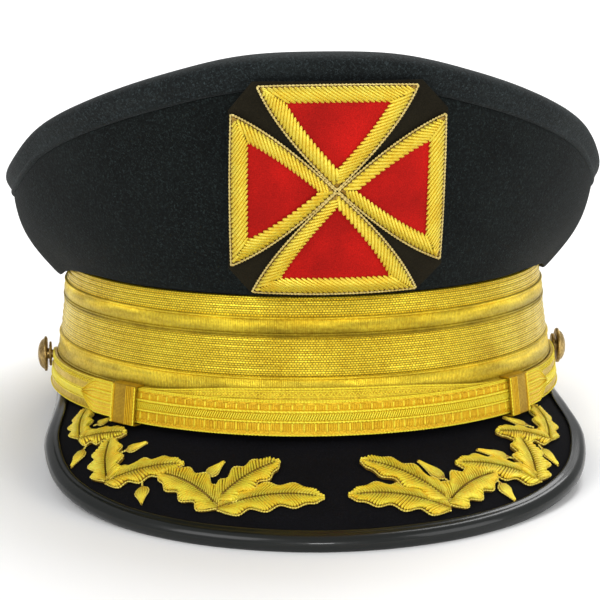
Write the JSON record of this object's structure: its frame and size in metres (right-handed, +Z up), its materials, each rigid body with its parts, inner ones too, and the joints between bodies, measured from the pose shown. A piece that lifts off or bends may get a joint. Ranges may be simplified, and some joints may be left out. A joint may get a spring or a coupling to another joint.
{
  "type": "peaked fatigue cap",
  "caption": "Peaked ceremonial cap: black wool crown, gold lace band and chin strap, badge with a red cross, and a black visor with gold oak sprays.",
  "frame": {"origin": "middle of the cap's footprint on the surface it rests on, tipped onto the visor's edge and the back of the band", "axes": "+X to the right of someone facing the badge, +Y from the visor to the back of the cap, +Z up"},
  "size_m": [0.2118, 0.2752, 0.1446],
  "materials": {
    "crown_wool": "fine black-blue wool melton",
    "band_cloth": "black band cloth",
    "lace_gold": "woven gilt wire lace",
    "strap_gold": "ribbed gilt braid",
    "button_brass": "domed, dulled brass",
    "visor_velvet": "black velvet face",
    "binding_patent": "glossy black patent",
    "spray_bullion": "raised gilt embroidery",
    "badge_black": "black backing cloth",
    "badge_red": "red felt",
    "badge_bullion": "gilt bullion strands"
  },
  "bodies": {
    "root": {"crown_side": "crown_wool", "crown_top": "crown_wool", "band_frame": "band_cloth", "band_lace": "lace_gold", "strap_under": "strap_gold", "strap_over": "strap_gold", "keeper_left": "strap_gold", "keeper_right": "strap_gold", "button_left": "button_brass", "button_right": "button_brass", "visor": "visor_velvet", "visor_binding": "binding_patent", "spray_left": "spray_bullion", "spray_right": "spray_bullion", "badge_backing": "badge_black", "badge_arm_top": "badge_red", "badge_arm_right": "badge_red", "badge_arm_bottom": "badge_red", "badge_arm_left": "badge_red", "badge_border": "badge_bullion"}
  },
  "joints": []
}
